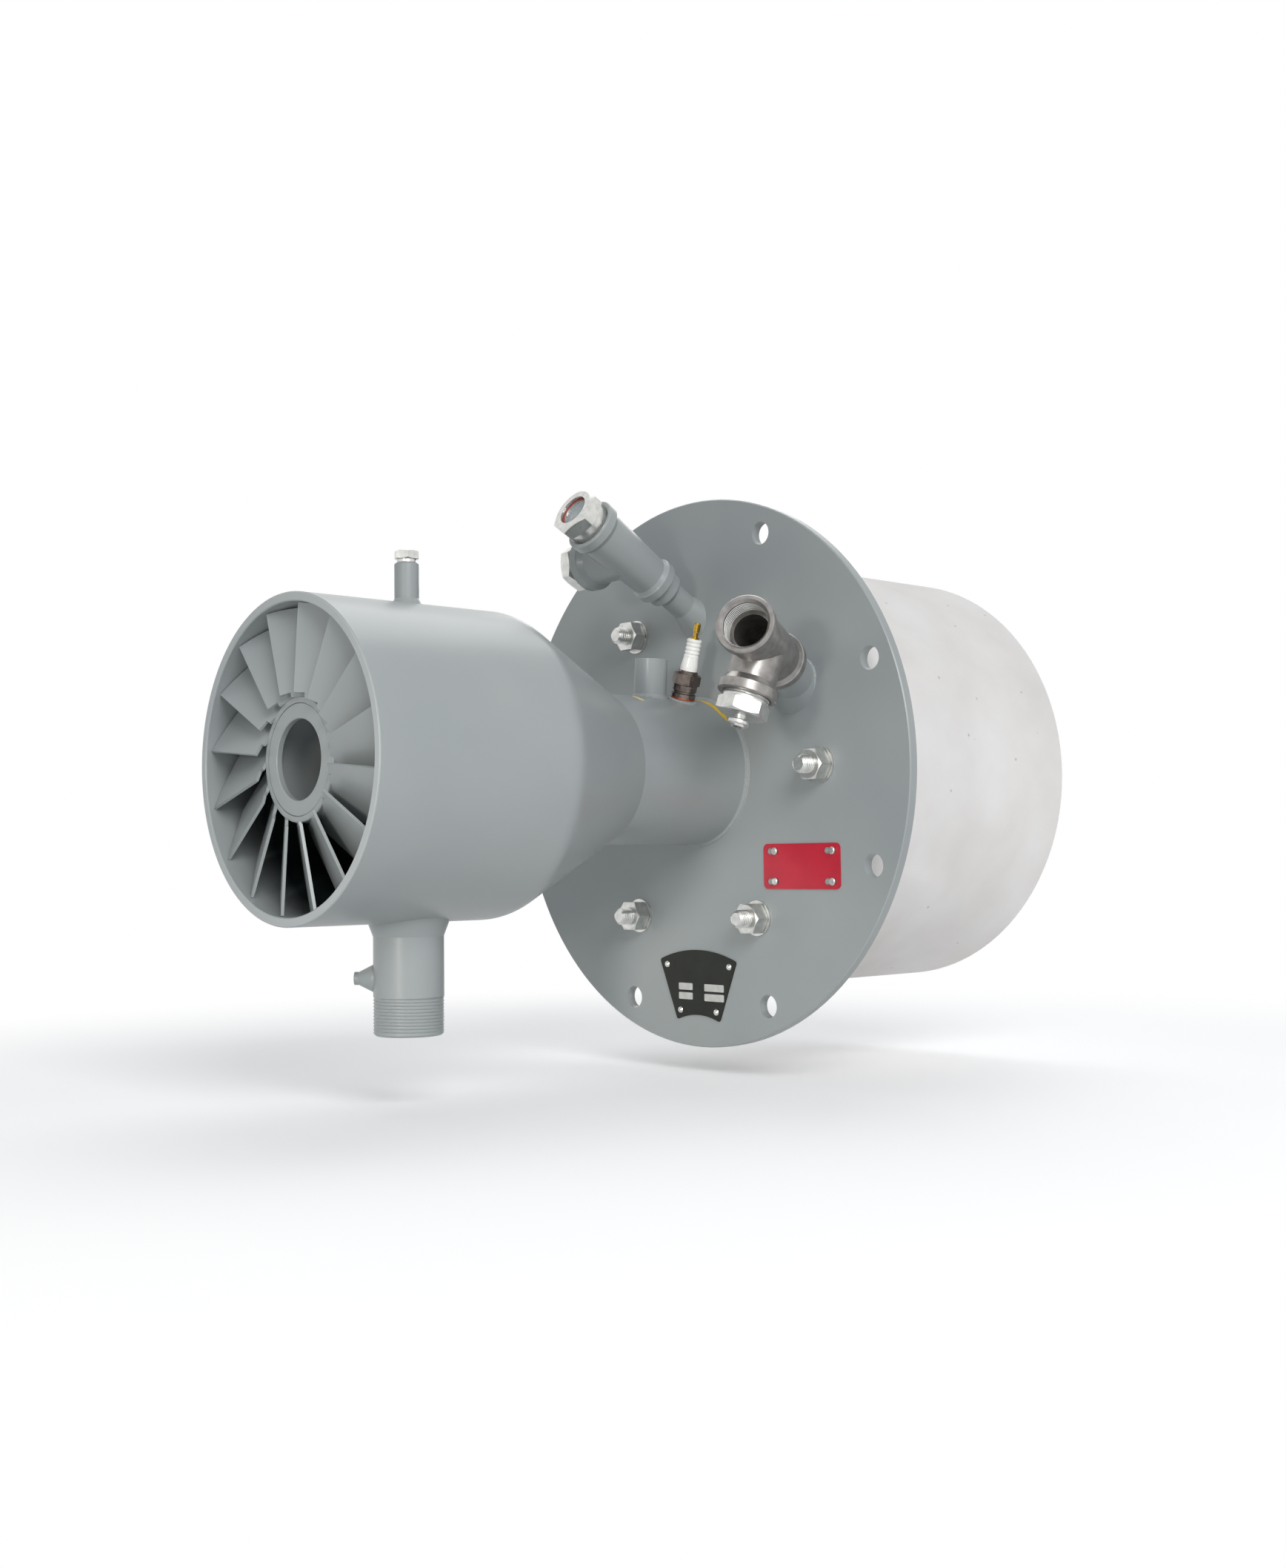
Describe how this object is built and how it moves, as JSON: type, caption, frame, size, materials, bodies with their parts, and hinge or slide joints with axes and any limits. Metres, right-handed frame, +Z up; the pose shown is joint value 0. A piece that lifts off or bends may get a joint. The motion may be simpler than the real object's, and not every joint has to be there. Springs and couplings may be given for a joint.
{
  "type": "industrial gas burner",
  "caption": "Nozzle-mixing industrial gas burner with a swirl-vane air drum, tapered throat, mounting flange, inclined sight and scanner ports, spark igniter and round refractory block.",
  "frame": {"origin": "centre of the mounting flange's bolt circle at the flange's front face", "axes": "+X along the burner axis into the furnace, +Z up, the gas inlet pipe pointing down"},
  "size_m": [0.6295, 0.4317, 0.4318],
  "materials": {
    "burner_enamel": "satin",
    "refractory": "matte",
    "zinc_steel": "zinc plated",
    "black_iron": "oiled, unpainted",
    "dark_steel": "blackened",
    "brass": "plain",
    "copper": "plain copper",
    "white_ceramic": "glazed",
    "sight_glass": "clear",
    "gasket": "mineral fibre",
    "black_plate": "black anodised",
    "red_plate": "red lacquer"
  },
  "bodies": {
    "burner": {"mounting_flange": "burner_enamel", "throat_pipe": "burner_enamel", "reducer_cone": "burner_enamel", "air_drum": "burner_enamel", "swirl_vanes": "burner_enamel", "hub_ring": "burner_enamel", "hub_tube": "burner_enamel", "hub_back_plate": "burner_enamel", "gas_tube": "burner_enamel", "gas_nozzle_head": "dark_steel", "gas_inlet_pipe": "burner_enamel", "gas_test_boss": "burner_enamel", "air_test_nipple": "burner_enamel", "pilot_stub": "burner_enamel", "igniter_boss": "burner_enamel", "sight_pipe": "burner_enamel", "sight_reducing_collar": "burner_enamel", "sight_tee": "burner_enamel", "sight_side_plug": "zinc_steel", "scanner_pipe": "burner_enamel", "scanner_tee": "black_iron", "scanner_hex_bushing": "zinc_steel", "scanner_air_fitting": "zinc_steel", "block_gasket": "gasket", "refractory_block": "refractory", "block_studs": "zinc_steel", "stud_nuts": "zinc_steel", "stud_washers": "dark_steel", "name_plate": "black_plate", "name_plate_rivets": "zinc_steel", "notice_plate": "red_plate", "notice_plate_screws": "zinc_steel"},
    "spark_igniter": {"igniter_gasket": "copper", "igniter_shell": "dark_steel", "igniter_insulator": "white_ceramic", "igniter_terminal": "brass", "igniter_electrode": "dark_steel"},
    "sight_window": {"sight_bushing": "zinc_steel", "sight_glass": "sight_glass"},
    "test_plug": {"air_test_plug": "zinc_steel"}
  },
  "joints": [
    {"name": "igniter_withdraw", "type": "slide", "parent": "burner", "child": "spark_igniter", "axis": [0, -0.309, 0.9511], "range_m": [0, 0.05]},
    {"name": "sight_window_withdraw", "type": "slide", "parent": "burner", "child": "sight_window", "axis": [-0.8746, 0, 0.4848], "range_m": [0, 0.025]},
    {"name": "test_plug_withdraw", "type": "slide", "parent": "burner", "child": "test_plug", "axis": [0, 0, 1], "range_m": [0, 0.02]}
  ]
}
